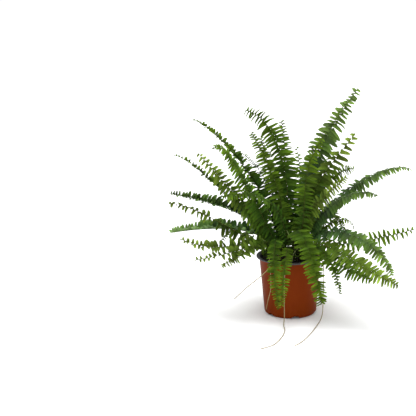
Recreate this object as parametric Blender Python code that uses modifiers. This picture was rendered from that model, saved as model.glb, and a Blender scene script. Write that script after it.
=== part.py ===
"""Potted sword fern: a nursery pot, its compost, the crown, some forty fronds, runners and young shoots.

Metres, +Z up. The origin is where the pot's axis meets the surface that the pot stands on, +X is the
plant's right and -Y is its front.
"""

from math import cos, pi, radians, sin

import bmesh
import bpy
from mathutils import Vector

# Pot: outside sizes of a 12 cm nursery pot
POT_HEIGHT = 0.105
RIM_RADIUS = 0.060
LIP_WIDTH = 0.0054
WALL_TAPER = 0.0083
WALL = 0.0012
LIP_THICKNESS = 0.0014
LIP_DROP = 0.0035
FOOT_RING_WIDTH = 0.0030
FOOT_RECESS = 0.0030
CORNER_RADIUS = 0.0050
POT_SEGMENTS = 48

# Drain slots in the bottom corner
SLOT_COUNT = 6
SLOT_WIDTH = 0.0140
SLOT_HEIGHT = 0.0052
SLOT_DEPTH = 0.0120
FIRST_SLOT = -78

# Compost
SOIL_BELOW_RIM = 0.0090
SOIL_DOME = 0.0015
SOIL_SHOULDER = 0.0060

# Every piece that meets another keeps this gap
GAP = 0.0003

# Crown, and the three rings in which the stalks stand around it
CROWN_RADIUS = 0.0060
CROWN_HEIGHT = 0.0110
CROWN_STEPS = 5
INNER_RING = 0.0095
MIDDLE_RING = 0.0185
OUTER_RING = 0.0285

# Frond sections: round at the foot, then a flat blade with teeth that narrow at both ends
STALK_THICKNESS = 0.0020
RIB_THICKNESS = 0.0013
RIB_TIP_SHARE = 0.4
BARE_STALK = 0.24
TEETH = 8
TOOTH_LEAN = 0.6
NOTCH_SHARE = 0.55
BLADE_START_SHARE = 0.25
BLADE_SWELL = 1.9
BLADE_TAPER = 2.4
LOWER_BOW_SHARE = 0.7

# Each frond: ring radius and azimuth of its foot; azimuth, reach beyond the rim and height above the
# compost of its tip; rise and pull of the stalk at the crown; rise and pull at the tip; sideways bow;
# half width of the blade; tilt of its face to the front
FRONDS = {
    "right_tall": (INNER_RING, 25, 23, 0.070, 0.296, 65, 0.125, 50, 0.205, 0.000, 0.013, 55),
    "right_gold": (INNER_RING, -20, -15, 0.057, 0.228, 85, 0.105, 50, 0.095, 0.000, 0.012, 50),
    "front_upright": (INNER_RING, -65, -47, 0.021, 0.224, 60, 0.110, 50, 0.110, 0.000, 0.013, 50),
    "right_lace": (MIDDLE_RING, 42, 34, 0.083, 0.151, 90, 0.075, 0, 0.070, 0.000, 0.009, 20),
    "right_middle": (MIDDLE_RING, -30, -28, 0.047, 0.156, 90, 0.090, 45, 0.090, -0.005, 0.010, 40),
    "right_long": (MIDDLE_RING, 6, 14, 0.162, 0.152, 90, 0.075, -25, 0.060, 0.000, 0.011, 35),
    "right_blue": (MIDDLE_RING, -12, -13, 0.091, 0.120, 85, 0.065, -30, 0.055, 0.000, 0.011, 30),
    "right_hook": (MIDDLE_RING, 24, 17, 0.060, 0.047, 80, 0.045, -85, 0.045, 0.000, 0.007, 20),
    "right_far": (OUTER_RING, 8, 6, 0.161, 0.049, 85, 0.030, 15, 0.140, 0.000, 0.011, 55),
    "right_arch": (OUTER_RING, -14, -27, 0.128, -0.004, 90, 0.090, -75, 0.070, 0.000, 0.012, 25),
    "right_low": (OUTER_RING, -36, -35, 0.151, -0.010, 75, 0.075, -15, 0.110, -0.005, 0.013, 50),
    "right_under": (OUTER_RING, -50, -41, 0.117, -0.005, 75, 0.060, -10, 0.090, -0.005, 0.010, 45),
    "right_hanging": (OUTER_RING, -62, -52, 0.073, -0.031, 70, 0.070, -75, 0.060, 0.005, 0.006, 10),
    "front_right": (OUTER_RING, -76, -67, 0.071, -0.043, 95, 0.110, -75, 0.105, -0.005, 0.013, 0),
    "front_middle": (OUTER_RING, -92, -98, 0.041, -0.054, 85, 0.070, -75, 0.055, 0.000, 0.009, 0),
    "front_left": (OUTER_RING, -108, -99, 0.057, -0.054, 85, 0.095, -75, 0.085, -0.020, 0.010, 0),
    "left_brown": (OUTER_RING, -130, -140, 0.088, 0.014, 85, 0.070, -15, 0.055, 0.000, 0.009, 40),
    "left_wisp": (OUTER_RING, -146, -148, 0.131, 0.025, 80, 0.060, 0, 0.110, 0.005, 0.007, 45),
    "left_low": (OUTER_RING, -162, -158, 0.140, 0.056, 85, 0.075, 30, 0.105, 0.005, 0.008, 40),
    "left_blue": (OUTER_RING, -178, 179, 0.153, 0.048, 90, 0.070, -10, 0.065, 0.005, 0.011, 10),
    "left_straight": (MIDDLE_RING, 172, 172, 0.159, 0.115, 80, 0.075, 10, 0.090, 0.000, 0.010, 40),
    "left_yellow": (MIDDLE_RING, -170, -168, 0.153, 0.111, 35, 0.095, -5, 0.035, 0.000, 0.008, 45),
    "left_upper": (MIDDLE_RING, 154, 164, 0.160, 0.180, 55, 0.075, -20, 0.030, 0.005, 0.009, 15),
    "left_gold": (MIDDLE_RING, -152, -160, 0.103, 0.200, 65, 0.080, 50, 0.120, 0.000, 0.011, 55),
    "left_grey": (MIDDLE_RING, -134, -144, 0.092, 0.210, 65, 0.110, -65, 0.035, 0.000, 0.011, 30),
    "left_band": (INNER_RING, -105, -141, 0.082, 0.129, 85, 0.090, -10, 0.085, 0.015, 0.009, 30),
    "left_tall": (INNER_RING, 170, 158, 0.129, 0.245, 85, 0.105, 10, 0.050, 0.000, 0.010, 15),
    "left_small": (INNER_RING, 145, 146, 0.021, 0.222, 90, 0.105, 55, 0.095, 0.000, 0.009, 45),
    "left_back_small": (MIDDLE_RING, 118, 120, 0.044, 0.210, 80, 0.100, 65, 0.080, 0.000, 0.009, 45),
    "left_back_blue": (MIDDLE_RING, 136, 129, 0.081, 0.178, 75, 0.110, 20, 0.105, 0.000, 0.011, 30),
    "top_left": (INNER_RING, 120, 143, 0.039, 0.262, 90, 0.055, 10, 0.105, -0.010, 0.013, 55),
    "top_back": (INNER_RING, 95, 99, 0.031, 0.239, 90, 0.115, 90, 0.090, -0.010, 0.011, 50),
    "back_small": (INNER_RING, 60, 84, 0.071, 0.187, 70, 0.100, 90, 0.085, -0.015, 0.007, 30),
    "back_right": (OUTER_RING, 45, 52, 0.111, 0.019, 85, 0.085, -60, 0.080, 0.000, 0.010, -15),
    "back_right_low": (OUTER_RING, 62, 66, 0.126, -0.016, 80, 0.070, -50, 0.090, 0.000, 0.010, -15),
    "back_middle_right": (OUTER_RING, 80, 81, 0.132, 0.014, 85, 0.100, -55, 0.080, 0.000, 0.011, -15),
    "back_middle": (OUTER_RING, 97, 95, 0.126, -0.036, 75, 0.070, -65, 0.085, 0.000, 0.010, -15),
    "back_middle_left": (OUTER_RING, 114, 108, 0.130, 0.019, 85, 0.100, -55, 0.080, 0.000, 0.011, -15),
    "back_left": (OUTER_RING, 132, 123, 0.124, -0.016, 80, 0.070, -55, 0.085, 0.000, 0.010, -15),
    "back_left_low": (OUTER_RING, 150, 141, 0.114, 0.004, 80, 0.065, -45, 0.080, 0.000, 0.010, -15),
    "back_upper": (MIDDLE_RING, 78, 73, 0.097, 0.124, 80, 0.120, -40, 0.070, 0.000, 0.010, -10),
}

# Runners: thin bare stems from the crown over the rim, the longer ones down to the surface.
# Each is the ring radius and azimuth of its foot, then (distance beyond the rim, azimuth, height as a
# share of the pot's), where no height means that it lies on the surface
RUNNER_RADIUS = 0.0007
RUNNER_TIP_SHARE = 0.5
RUNNER_STEPS = 4
RUNNERS = {
    "left": (
        (OUTER_RING - 0.004, -119),
        (-0.0135, -115, 1.07),
        (0.0065, -116, 1.03),
        (0.0170, -121, 0.89),
        (0.0255, -133, 0.72),
        (0.0365, -143, 0.56),
        (0.0500, -152, 0.36),
    ),
    "left_short": (
        (MIDDLE_RING + 0.002, -137),
        (-0.0220, -137, 1.08),
        (0.0025, -124, 1.05),
        (0.0110, -118, 0.88),
        (0.0065, -120, 0.57),
        (0.0045, -126, 0.36),
        (0.0035, -132, 0.16),
    ),
    "front": (
        (MIDDLE_RING, -99),
        (-0.0155, -97, 1.07),
        (0.0045, -96, 1.01),
        (0.0075, -98, 0.76),
        (0.0050, -99, 0.43),
        (0.0040, -99, 0.11),
        (0.0210, -98, 0.0),
        (0.0485, -95, 0.0),
        (0.0790, -96, 0.0),
        (0.1130, -99, 0.0),
        (0.1355, -104, 0.0),
    ),
    "right": (
        (MIDDLE_RING + 0.0045, -21),
        (-0.0135, -31, 1.08),
        (0.0045, -35, 1.03),
        (0.0110, -35, 0.81),
        (0.0115, -37, 0.43),
        (0.0110, -38, 0.11),
        (0.0185, -50, 0.0),
        (0.0340, -62, 0.0),
        (0.0565, -72, 0.0),
        (0.0915, -82, 0.0),
        (0.1160, -88, 0.0),
    ),
}

# Young shoots with a rolled tip: ring radius, azimuth, height, lean to the right, coil radius
SHOOT_RADIUS = 0.0011
SHOOT_TIP_SHARE = 0.45
SHOOT_BEND = (0.2, 0.55)
COIL_TURNS = 1.4
COIL_STEPS = 16
COIL_CLOSING = 0.62
SHOOTS = {
    "pale": (MIDDLE_RING + 0.0015, -60, 0.052, -0.014, 0.0050),
    "low": (OUTER_RING + 0.0055, -84, 0.026, 0.008, 0.0040),
}

# What follows from the sizes above
SHOULDER_RADIUS = RIM_RADIUS - LIP_WIDTH
SOIL_TOP = POT_HEIGHT - SOIL_BELOW_RIM
FLOOR_TOP = FOOT_RECESS + WALL
STALK_FOOT = SOIL_TOP + SOIL_DOME + GAP


def clear_scene():
    for leftover in list(bpy.data.objects):
        bpy.data.objects.remove(leftover, do_unlink=True)


def new_collection(name):
    collection = bpy.data.collections.new(name)
    bpy.context.scene.collection.children.link(collection)
    return collection


def new_material(name, colour, roughness, metallic=0.0):
    material = bpy.data.materials.new(name)
    material.use_nodes = True
    shader = material.node_tree.nodes["Principled BSDF"]
    shader.inputs["Base Color"].default_value = (*colour, 1.0)
    shader.inputs["Roughness"].default_value = roughness
    shader.inputs["Metallic"].default_value = metallic
    return material


def add_object(name, data, collection, material):
    obj = bpy.data.objects.new(name, data)
    data.materials.append(material)
    collection.objects.link(obj)
    return obj


def smooth(mesh):
    mesh.shade_smooth()
    mesh.set_sharp_from_angle(angle=radians(35))


def turned(name, profile, collection, material):
    """A profile of (radius, height) points, turned a full circle around the pot's axis."""
    mesh = bpy.data.meshes.new(name)
    edges = [(i, i + 1) for i in range(len(profile) - 1)]
    mesh.from_pydata([(radius, 0.0, height) for radius, height in profile], edges, [])
    obj = add_object(name, mesh, collection, material)
    screw = obj.modifiers.new("Turn", "SCREW")
    screw.steps = POT_SEGMENTS
    screw.render_steps = POT_SEGMENTS
    screw.use_merge_vertices = True
    screw.merge_threshold = 0.00005
    screw.use_smooth_shade = True
    return obj


def wall_radius(height):
    """Outside radius of the pot's wall at a height."""
    return SHOULDER_RADIUS - WALL_TAPER * (1 - height / (POT_HEIGHT - LIP_THICKNESS))


def corner(radius, centre_radius, centre_height, steps=3):
    """Quarter circle from the wall down to the foot."""
    turns = [pi / 2 * i / steps for i in range(steps + 1)]
    return [(centre_radius + radius * cos(t), centre_height - radius * sin(t)) for t in turns]


def build_pot(collection, cutters):
    plastic = new_material("terracotta_plastic", (0.36, 0.085, 0.035), 0.45)
    lip_under = POT_HEIGHT - LIP_THICKNESS
    lip_inner = RIM_RADIUS - LIP_THICKNESS
    foot_outer = wall_radius(CORNER_RADIUS) - CORNER_RADIUS
    inner_corner = CORNER_RADIUS - WALL
    inside = [(0.0, FLOOR_TOP)]
    inside += corner(inner_corner, foot_outer, FLOOR_TOP + inner_corner)[::-1]
    inside += [(SHOULDER_RADIUS - WALL, POT_HEIGHT)]
    lip = [
        (RIM_RADIUS, POT_HEIGHT),
        (RIM_RADIUS, POT_HEIGHT - LIP_DROP),
        (lip_inner, POT_HEIGHT - LIP_DROP),
        (lip_inner, lip_under),
        (SHOULDER_RADIUS, lip_under),
    ]
    outside = corner(CORNER_RADIUS, foot_outer, CORNER_RADIUS)
    foot = [
        (foot_outer - FOOT_RING_WIDTH, 0.0),
        (foot_outer - FOOT_RING_WIDTH, FOOT_RECESS),
        (0.0, FOOT_RECESS),
    ]
    pot = turned("pot", inside + lip + outside + foot, collection, plastic)
    for index in range(SLOT_COUNT):
        azimuth = radians(FIRST_SLOT + index * 360 / SLOT_COUNT)
        mesh = bpy.data.meshes.new(f"slot_cutter_{index + 1}")
        shape = bmesh.new()
        bmesh.ops.create_cube(shape, size=1.0)
        bmesh.ops.scale(shape, vec=(SLOT_DEPTH, SLOT_WIDTH, 2 * SLOT_HEIGHT), verts=shape.verts)
        shape.to_mesh(mesh)
        shape.free()
        cutter = bpy.data.objects.new(mesh.name, mesh)
        cutter.location = (foot_outer * cos(azimuth), foot_outer * sin(azimuth), 0.0)
        cutter.rotation_euler = (0.0, 0.0, azimuth)
        cutter.hide_render = True
        cutter.display_type = "WIRE"
        cutters.objects.link(cutter)
        cut = pot.modifiers.new(f"Slot {index + 1}", "BOOLEAN")
        cut.operation = "DIFFERENCE"
        cut.object = cutter
    return pot


def build_soil(collection):
    """Compost cast to the inside of the pot, slightly domed to the crown."""
    compost = new_material("compost", (0.028, 0.018, 0.011), 0.95)
    foot_outer = wall_radius(CORNER_RADIUS) - CORNER_RADIUS
    inner_corner = CORNER_RADIUS - WALL
    top_radius = wall_radius(SOIL_TOP) - WALL - GAP
    bottom = corner(inner_corner - GAP, foot_outer, FLOOR_TOP + inner_corner)
    profile = [(0.0, SOIL_TOP + SOIL_DOME), (OUTER_RING + SOIL_SHOULDER, SOIL_TOP + SOIL_DOME)]
    profile += [(top_radius, SOIL_TOP)] + bottom + [(0.0, FLOOR_TOP + GAP)]
    return turned("soil", profile, collection, compost)


def build_crown(collection):
    """The short upright rootstock in the middle, from which the fronds and the runners grow."""
    bark = new_material("rootstock", (0.075, 0.045, 0.022), 0.9)
    turns = [pi / 2 * i / CROWN_STEPS for i in range(CROWN_STEPS + 1)]
    profile = [(CROWN_RADIUS * sin(t), STALK_FOOT + CROWN_HEIGHT * cos(t)) for t in turns]
    return turned("crown", profile + [(0.0, STALK_FOOT)], collection, bark)


def around_pot(radius, azimuth, height):
    return Vector((radius * cos(radians(azimuth)), radius * sin(radians(azimuth)), height))


def stalk_curve(foot, tip, rise, rise_pull, fall, fall_pull, bow):
    """Cubic curve from foot to tip in a nearly upright plane, as a function of 0..1."""
    outward = Vector((tip.x - foot.x, tip.y - foot.y, 0.0)).normalized()
    sideways = Vector((-outward.y, outward.x, 0.0))
    up = Vector((0.0, 0.0, 1.0))
    leaving = outward * cos(radians(rise)) + up * sin(radians(rise))
    arriving = outward * cos(radians(fall)) + up * sin(radians(fall))
    second = foot + leaving * rise_pull + sideways * bow * LOWER_BOW_SHARE
    third = tip - arriving * fall_pull + sideways * bow

    def point(t):
        s = 1 - t
        return s**3 * foot + 3 * s * s * t * second + 3 * s * t * t * third + t**3 * tip

    return point


def blade_share(place):
    """Width of the blade at 0..1 along it, as a share of its greatest width."""
    return min(1.0, BLADE_START_SHARE + BLADE_SWELL * place) * (1 - place**BLADE_TAPER)


def frond_sections(half_width):
    """(place along the stalk, half width, half thickness) of each section but the pointed tip."""
    stalk = STALK_THICKNESS / 2
    sections = [(0.0, stalk, stalk), (BARE_STALK / 2, stalk, stalk)]
    for tooth in range(TEETH):
        thickness = RIB_THICKNESS / 2 * (1 - (1 - RIB_TIP_SHARE) * tooth / TEETH)
        for offset, share in ((0.0, NOTCH_SHARE), (TOOTH_LEAN, 1.0)):
            place = (tooth + offset) / TEETH
            width = max(half_width * blade_share(place) * share, thickness)
            sections.append((BARE_STALK + (1 - BARE_STALK) * place, width, thickness))
    return sections


def frond_mesh(name, point, half_width, tilt):
    """A stalk that widens into a toothed blade: four-sided sections lofted along the curve."""
    facing = Vector((0.0, -sin(radians(tilt)), cos(radians(tilt))))
    shape = bmesh.new()
    rings = []
    for place, width, thickness in frond_sections(half_width):
        centre = point(place)
        along = (point(place + 0.01) - point(max(place - 0.01, 0.0))).normalized()
        across = facing.cross(along).normalized()
        above = along.cross(across)
        if place == 0.0:
            across = Vector((across.x, across.y, 0.0)).normalized()
            above = Vector((-across.y, across.x, 0.0))
        offsets = (across * width, above * thickness, -across * width, -above * thickness)
        rings.append([shape.verts.new(centre + offset) for offset in offsets])
    tip = shape.verts.new(point(1.0))
    shape.faces.new(rings[0])
    for lower, upper in zip(rings, rings[1:]):
        for i in range(4):
            j = (i + 1) % 4
            shape.faces.new((lower[i], lower[j], upper[j], upper[i]))
    for i in range(4):
        shape.faces.new((rings[-1][i], rings[-1][(i + 1) % 4], tip))
    bmesh.ops.recalc_face_normals(shape, faces=shape.faces)
    mesh = bpy.data.meshes.new(name)
    shape.to_mesh(mesh)
    shape.free()
    return mesh


def build_fronds(collection):
    colours = {"gold": (0.19, 0.25, 0.03), "blue": (0.035, 0.10, 0.05), "leaf": (0.06, 0.16, 0.03)}
    greens = {key: new_material(f"frond_{key}", colour, 0.5) for key, colour in colours.items()}
    for name, (ring, azimuth, tip_azimuth, reach, height, *bends, half_width, tilt) in FRONDS.items():
        foot = around_pot(ring, azimuth, STALK_FOOT)
        tip = around_pot(RIM_RADIUS + reach, tip_azimuth, SOIL_TOP + height)
        curve = stalk_curve(foot, tip, *bends)
        kind = next((key for key in greens if name.endswith(key)), "leaf")
        mesh = frond_mesh(f"frond_{name}", curve, half_width, tilt)
        add_object(mesh.name, mesh, collection, greens[kind])


def through(points, per_leg):
    """Points along a smooth curve through the given ones."""
    ends = [2 * points[0] - points[1], *points, 2 * points[-1] - points[-2]]
    found = []
    for before, start, end, after in zip(ends, ends[1:], ends[2:], ends[3:]):
        for step in range(per_leg):
            t = step / per_leg
            found.append(
                0.5
                * (
                    2 * start
                    + (end - before) * t
                    + (2 * before - 5 * start + 4 * end - after) * t**2
                    + (3 * start - before - 3 * end + after) * t**3
                )
            )
    return found + [points[-1]]


def stem(name, points, radius, tip_share, collection, material):
    """A thin round stem that tapers to its tip."""
    curve = bpy.data.curves.new(name, "CURVE")
    curve.dimensions = "3D"
    curve.bevel_depth = radius
    curve.bevel_resolution = 1
    curve.use_fill_caps = True
    spline = curve.splines.new("POLY")
    spline.points.add(len(points) - 1)
    for index, place in enumerate(points):
        spline.points[index].co = (*place, 1.0)
        spline.points[index].radius = 1 + (tip_share - 1) * index / (len(points) - 1)
    spline.use_smooth = True
    return add_object(name, curve, collection, material)


def build_runners(collection):
    straw = new_material("runner_straw", (0.30, 0.23, 0.12), 0.7)
    lie = RUNNER_RADIUS + GAP
    for name, (foot, *places) in RUNNERS.items():
        route = [around_pot(*foot, STALK_FOOT + lie)]
        route += [
            around_pot(RIM_RADIUS + out, azimuth, level * POT_HEIGHT or lie)
            for out, azimuth, level in places
        ]
        points = through(route, RUNNER_STEPS)
        for point in points:
            point.z = max(point.z, lie)
        stem(f"runner_{name}", points, RUNNER_RADIUS, RUNNER_TIP_SHARE, collection, straw)


def build_shoots(collection):
    pale = new_material("shoot_pale", (0.22, 0.30, 0.10), 0.6)
    for name, (ring, azimuth, height, lean, coil) in SHOOTS.items():
        foot = around_pot(ring, azimuth, STALK_FOOT)
        top = foot + Vector((lean, 0.0, height))
        bend = foot + Vector((lean * SHOOT_BEND[0], 0.0, height * SHOOT_BEND[1]))
        points = through([foot, bend, top], RUNNER_STEPS)
        side = 1 if lean > 0 else -1
        for step in range(1, COIL_STEPS + 1):
            turn = 2 * pi * COIL_TURNS * step / COIL_STEPS
            radius = coil * (1 - COIL_CLOSING * step / COIL_STEPS)
            out = Vector((side * (coil - radius * cos(turn)), 0.0, radius * sin(turn)))
            points.append(top + out)
        stem(f"shoot_{name}", points, SHOOT_RADIUS, SHOOT_TIP_SHARE, collection, pale)


def main():
    clear_scene()
    parts = new_collection("potted_fern")
    cutters = new_collection("cutters")
    build_pot(parts, cutters)
    build_soil(parts)
    build_crown(parts)
    build_fronds(parts)
    build_runners(parts)
    build_shoots(parts)
    for obj in parts.objects:
        if obj.type == "MESH" and not obj.modifiers:
            smooth(obj.data)


main()
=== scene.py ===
from math import cos, pi, radians, sin

import bmesh
import bpy
import numpy as np
from mathutils import Matrix, Vector, noise


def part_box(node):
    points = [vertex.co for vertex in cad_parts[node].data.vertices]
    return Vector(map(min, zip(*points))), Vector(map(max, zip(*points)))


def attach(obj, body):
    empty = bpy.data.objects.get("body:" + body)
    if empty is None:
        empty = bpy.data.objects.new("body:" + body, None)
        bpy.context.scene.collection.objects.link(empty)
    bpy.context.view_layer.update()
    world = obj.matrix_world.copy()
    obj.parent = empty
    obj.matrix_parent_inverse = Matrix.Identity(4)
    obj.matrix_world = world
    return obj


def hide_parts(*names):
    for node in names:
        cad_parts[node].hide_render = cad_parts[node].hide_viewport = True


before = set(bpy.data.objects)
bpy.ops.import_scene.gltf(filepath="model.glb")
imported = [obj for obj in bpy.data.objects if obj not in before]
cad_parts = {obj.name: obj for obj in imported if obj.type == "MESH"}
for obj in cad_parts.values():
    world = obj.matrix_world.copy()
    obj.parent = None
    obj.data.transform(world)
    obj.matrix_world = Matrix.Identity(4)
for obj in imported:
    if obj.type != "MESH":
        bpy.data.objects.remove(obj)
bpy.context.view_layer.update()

# ---------------------------------------------------------------------------------------------------
# Studio: a wide matt white table top under pale air that is brightest overhead, one broad soft lamp
# high above and a weak one in front. The camera stands well above the rim of the pot.
# ---------------------------------------------------------------------------------------------------
scene = bpy.context.scene
scene.view_settings.view_transform = "Standard"

bpy.ops.object.camera_add(
    location=(0.0, -1.337, 0.458), rotation=(radians(78.73), radians(1.49), radians(5.88))
)
camera = bpy.context.object
camera.name = "camera"
camera.data.lens = 66.6
camera.data.clip_start = 0.05
scene.camera = camera


def feed(tree, target, inputs):
    """Feeds a node's inputs, each with a number, a colour or the output of another node."""
    for label, value in inputs.items():
        socket = target.inputs[label]
        if isinstance(value, bpy.types.NodeSocket):
            tree.links.new(value, socket)
        elif socket.type == "RGBA":
            socket.default_value = (*value, 1.0)
        else:
            socket.default_value = value


def node(tree, kind, inputs=None, **settings):
    """A new node with its settings, and with its inputs fed."""
    made = tree.nodes.new(kind)
    for key, value in settings.items():
        setattr(made, key, value)
    feed(tree, made, inputs or {})
    return made


def new_material(name):
    """A node material, with its tree and its Principled shader."""
    material = bpy.data.materials.new(name)
    material.use_nodes = True
    return material, material.node_tree, material.node_tree.nodes["Principled BSDF"]


def object_place(tree):
    return node(tree, "ShaderNodeTexCoord").outputs["Object"]


def blotches(tree, place, scale, detail=2.0):
    """Soft random blotches from 0 to 1."""
    inputs = {"Vector": place, "Scale": scale, "Detail": detail}
    return node(tree, "ShaderNodeTexNoise", inputs).outputs["Fac"]


def colour_mix(tree, factor, first, second, blend="MIX"):
    inputs = {"Factor": factor, "A": first, "B": second}
    return node(tree, "ShaderNodeMix", inputs, data_type="RGBA", blend_type=blend).outputs["Result"]


air = bpy.data.worlds.new("pale_air")
scene.world = air
air.use_nodes = True
tree = air.node_tree
tree.nodes.clear()
direction = node(tree, "ShaderNodeTexCoord").outputs["Generated"]
upward = node(tree, "ShaderNodeSeparateXYZ", {"Vector": direction}).outputs["Z"]
brighter_above = node(
    tree,
    "ShaderNodeMapRange",
    {"Value": upward, "From Min": -0.1, "From Max": 0.9, "To Min": 0.36, "To Max": 1.18},
).outputs["Result"]
lighting = node(tree, "ShaderNodeBackground", {"Color": (0.99, 0.995, 1.0), "Strength": brighter_above})
seen = node(tree, "ShaderNodeBackground", {"Color": (1.0, 1.0, 1.0), "Strength": 1.05})
direct = node(tree, "ShaderNodeLightPath").outputs["Is Camera Ray"]
choose = node(
    tree,
    "ShaderNodeMixShader",
    {"Fac": direct, 1: lighting.outputs["Background"], 2: seen.outputs["Background"]},
)
node(tree, "ShaderNodeOutputWorld", {"Surface": choose.outputs["Shader"]})


def aim_lamp(lamp, target):
    lamp.rotation_euler = (Vector(target) - lamp.location).to_track_quat("-Z", "Y").to_euler()


bpy.ops.object.light_add(type="SUN", location=(-0.10, 0.16, 1.60))
lamp_above = bpy.context.object
lamp_above.name = "lamp_above"
lamp_above.data.energy = 2.7
lamp_above.data.angle = radians(34)
aim_lamp(lamp_above, (0.0, 0.0, 0.10))

bpy.ops.object.light_add(type="AREA", location=(0.45, -1.55, 0.95))
lamp_front = bpy.context.object
lamp_front.name = "lamp_front"
lamp_front.data.size = 0.8
lamp_front.data.energy = 5.0
aim_lamp(lamp_front, (0.0, 0.0, 0.15))

bpy.ops.mesh.primitive_plane_add(size=60.0, location=(0.0, 0.0, -0.0002))
table_top = bpy.context.object
table_top.name = "table_top"
white_paint, tree, shader = new_material("white_table_top")
mottle = blotches(tree, object_place(tree), 6.0)
tint = colour_mix(tree, mottle, (0.93, 0.93, 0.925), (0.96, 0.96, 0.96))
feed(tree, shader, {"Base Color": tint, "Roughness": 0.75, "Specular IOR Level": 0.2})
table_top.data.materials.append(white_paint)

# ---------------------------------------------------------------------------------------------------
# Pot: a round nursery pot drawn from one two-coloured plastic sheet, brick red outside and nearly
# black inside, with an out-turned lip, a rounded foot and arched drain slots in the bottom corner.
# ---------------------------------------------------------------------------------------------------
pot_low, pot_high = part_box("pot")
pot_height = pot_high.z
rim_radius = (pot_high.x - pot_low.x) / 2
lip_width = 0.0054
lip_drop = 0.0028
lip_edge = 0.0014
lip_depth = 0.0040
wall_taper = 0.0083
wall_thickness = 0.0012
foot_ring_width = 0.0030
rib_drop = 0.0005
foot_recess = 0.0030
corner_radius = 0.0050
slot_count = 6
slot_width = 0.0150
slot_height = 0.0052
first_slot = -78.0


def pot_wall(height):
    """Outside radius of the pot's wall at a height."""
    return rim_radius - lip_width - wall_taper * (1 - height / (pot_height - lip_edge))


def deselect_all():
    for thing in list(bpy.context.selected_objects):
        thing.select_set(False)


def only(thing):
    """Makes one object the selected and active one."""
    deselect_all()
    thing.select_set(True)
    bpy.context.view_layer.objects.active = thing


def draw_out(rings):
    """Extrudes the selected round edge from ring to ring, each given as (radius, height)."""
    radius, height = rings[0]
    for next_radius, next_height in rings[1:]:
        bpy.ops.mesh.extrude_region_move(
            TRANSFORM_OT_translate={"value": (0.0, 0.0, next_height - height)}
        )
        share = next_radius / radius
        bpy.ops.transform.resize(
            value=(share, share, 1.0), center_override=(0.0, 0.0, next_height)
        )
        radius, height = next_radius, next_height


foot_outer = pot_wall(corner_radius) - corner_radius
foot_inner = foot_outer - foot_ring_width
# Underside, with one shallow ring rib, and the foot ring
rings = [(0.006, foot_recess), (0.0065, foot_recess), (0.016, foot_recess), (0.0166, foot_recess - rib_drop)]
rings += [(0.0185, foot_recess - rib_drop), (0.0191, foot_recess), (foot_inner - 0.0006, foot_recess)]
rings += [(foot_inner, foot_recess - 0.0006), (foot_inner, 0.0005), (foot_inner + 0.0005, 0.0)]
rings += [(foot_outer - 0.0003, 0.0)]
# Bottom corner and the outside of the wall
for step in range(1, 8):
    turn = pi / 2 * step / 7
    rings.append((foot_outer + corner_radius * sin(turn), corner_radius * (1 - cos(turn))))
for step in range(1, 13):
    height = corner_radius + (pot_height - 0.0050 - corner_radius) * step / 12
    rings.append((pot_wall(height), height))
# Lip, each point given from the rim and down from the top
rings += [(pot_wall(pot_height - 0.003) + 0.0002, pot_height - lip_drop)]
lip_points = [(0.0030, 0.0019), (0.0018, 0.0022), (0.0014, lip_drop - 0.0003), (0.0010, lip_drop)]
lip_points += [(0.0003, lip_drop), (0.0, lip_drop - 0.0004), (0.0, lip_edge), (0.0005, 0.0004)]
lip_points += [(0.0014, 0.0), (0.0030, 0.0002), (0.0050, 0.0009), (0.0062, 0.0020)]
rings += [(rim_radius - inward, pot_height - down) for inward, down in lip_points]
# Inside of the wall and of the bottom
inner_top = pot_height - lip_depth
rings += [(pot_wall(inner_top) - wall_thickness, inner_top)]
for step in range(1, 9):
    height = inner_top - (inner_top - corner_radius - foot_recess) * step / 8
    rings.append((pot_wall(height) - wall_thickness, height))
inner_corner = corner_radius - wall_thickness
inner_floor = foot_recess + wall_thickness
for step in range(0, 5):
    turn = pi / 2 * step / 4
    rings.append((foot_outer + inner_corner * cos(turn), inner_floor + inner_corner * (1 - sin(turn))))
rings += [(0.020, inner_floor), (0.006, inner_floor)]

deselect_all()
bpy.ops.mesh.primitive_circle_add(
    vertices=96, radius=rings[0][0], fill_type="NGON", location=(0.0, 0.0, rings[0][1])
)
pot = bpy.context.object
pot.name = "nursery_pot"
bpy.ops.object.mode_set(mode="EDIT")
bpy.ops.mesh.select_mode(type="EDGE")
bpy.ops.mesh.select_all(action="SELECT")
bpy.ops.mesh.region_to_loop()
draw_out(rings)
bpy.ops.mesh.edge_face_add()
bpy.ops.mesh.select_all(action="SELECT")
bpy.ops.mesh.remove_doubles(threshold=0.00001)
bpy.ops.mesh.normals_make_consistent(inside=False)
bpy.ops.object.mode_set(mode="OBJECT")

for index in range(slot_count):
    azimuth = radians(first_slot + index * 360 / slot_count)
    deselect_all()
    bpy.ops.mesh.primitive_cylinder_add(
        vertices=40,
        radius=slot_width / 2,
        depth=0.012,
        location=(foot_outer * cos(azimuth), foot_outer * sin(azimuth), 0.0),
        rotation=(0.0, pi / 2, azimuth),
    )
    cutter = bpy.context.object
    bpy.ops.object.transform_apply(location=False, rotation=True, scale=False)
    cutter.scale = (1.0, 1.0, 2 * slot_height / slot_width)
    bpy.ops.object.transform_apply(location=True, rotation=True, scale=True)
    only(pot)
    cut = pot.modifiers.new("drain slot", "BOOLEAN")
    cut.operation = "DIFFERENCE"
    cut.solver = "EXACT"
    cut.object = cutter
    bpy.ops.object.modifier_apply(modifier=cut.name)
    bpy.data.objects.remove(cutter, do_unlink=True)

only(pot)
bpy.ops.object.transform_apply(location=True, rotation=True, scale=True)
bpy.ops.object.shade_smooth_by_angle(angle=radians(38))


def maths(tree, operation, *values):
    """The output of one Math node."""
    return node(tree, "ShaderNodeMath", dict(enumerate(values)), operation=operation).outputs["Value"]


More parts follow.
